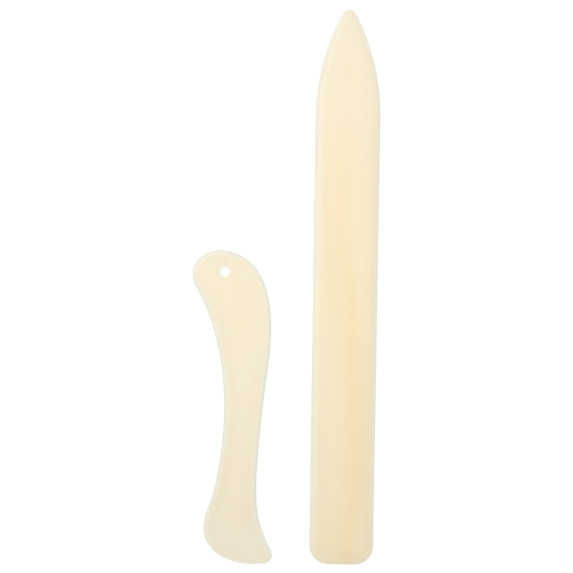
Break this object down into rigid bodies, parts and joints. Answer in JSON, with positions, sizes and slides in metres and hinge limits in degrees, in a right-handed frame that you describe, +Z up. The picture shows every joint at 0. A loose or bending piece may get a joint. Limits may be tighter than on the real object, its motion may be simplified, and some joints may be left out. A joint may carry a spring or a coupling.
{
  "type": "bone folder set",
  "caption": "Two flat paper-creasing bone folders lying side by side: a long straight pointed one and a short S-curved one with a thinned blade and a hanging hole.",
  "frame": {"origin": "centre of the pair's footprint, on the surface that both tools lie on", "axes": "+Z up, out of the table; +Y along the long folder towards its point; +X to the right seen from above, from the curved folder to the long one"},
  "size_m": [0.0678, 0.2036, 0.0032],
  "materials": {
    "long_folder_bone": "satin",
    "curved_folder_bone": "satin"
  },
  "bodies": {
    "long_folder": {"long_bone_folder": "long_folder_bone"},
    "curved_folder": {"curved_bone_folder": "curved_folder_bone"}
  },
  "joints": [
    {"name": "curved_folder_lift", "type": "slide", "parent": "long_folder", "child": "curved_folder", "axis": [0, 0, 1], "range_m": [0, 0.15]}
  ]
}
